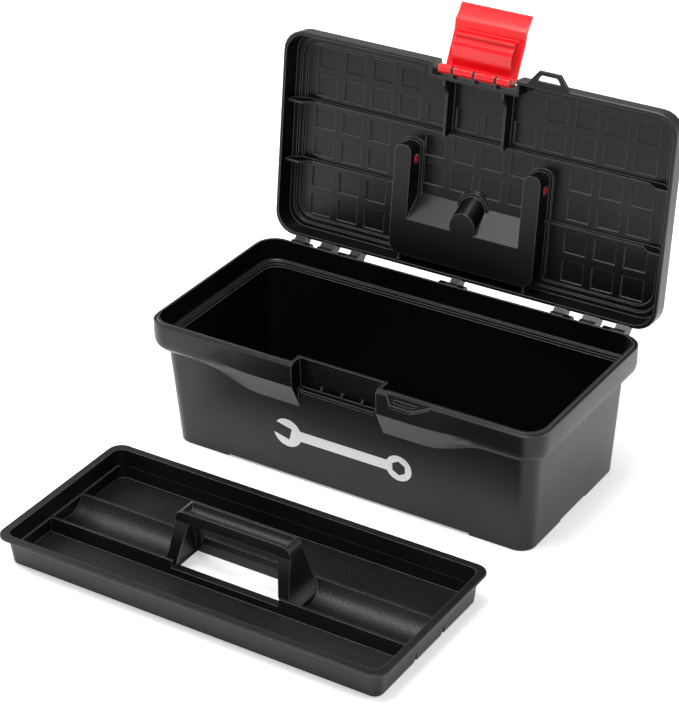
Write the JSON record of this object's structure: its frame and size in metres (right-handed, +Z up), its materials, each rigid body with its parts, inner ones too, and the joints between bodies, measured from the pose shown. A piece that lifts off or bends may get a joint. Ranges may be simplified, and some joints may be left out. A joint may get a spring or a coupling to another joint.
{
  "type": "toolbox with tray",
  "caption": "Moulded plastic toolbox standing open, with a hinged lid, a folding carry handle, a front latch and a lift-out tray with its own arched handle.",
  "frame": {"origin": "on the floor, under the middle of the box's bin, where its feet stand", "axes": "+X along the box to its right-hand end seen from the front, +Y to the back where the hinge is, +Z up"},
  "size_m": [0.402, 0.5108, 0.3678],
  "materials": {
    "black_plastic": "black polypropylene, fine satin texture",
    "red_plastic": "bright red, smooth moulded gloss",
    "pin_steel": "plain drawn steel rod",
    "white_print": "white screen-printed picture of a spanner on the front of the bin"
  },
  "bodies": {
    "box": {"bin": "black_plastic", "hinge_pin_left": "pin_steel", "hinge_pin_centre": "pin_steel", "hinge_pin_right": "pin_steel"},
    "lid": {"lid": "black_plastic", "latch_pin": "pin_steel"},
    "latch": {"latch": "red_plastic"},
    "carry_handle": {"carry_handle": "red_plastic"},
    "tray": {"tray": "black_plastic"}
  },
  "joints": [
    {"name": "lid_hinge", "type": "hinge", "parent": "box", "child": "lid", "pos_m": [0, 0.1055, 0.121], "axis": [-1, 0, 0], "range_deg": [-98, 0]},
    {"name": "latch_hinge", "type": "hinge", "parent": "lid", "child": "latch", "pos_m": [0, 0.14373, 0.31759], "axis": [1, 0, 0], "range_deg": [0, 115]},
    {"name": "handle_hinge", "type": "hinge", "parent": "lid", "child": "carry_handle", "pos_m": [0, 0.13963, 0.22375], "axis": [1, 0, 0], "range_deg": [0, 95]},
    {"name": "tray_lift", "type": "slide", "parent": "box", "child": "tray", "axis": [0, 0, 1], "range_m": [0, 0.25]}
  ]
}
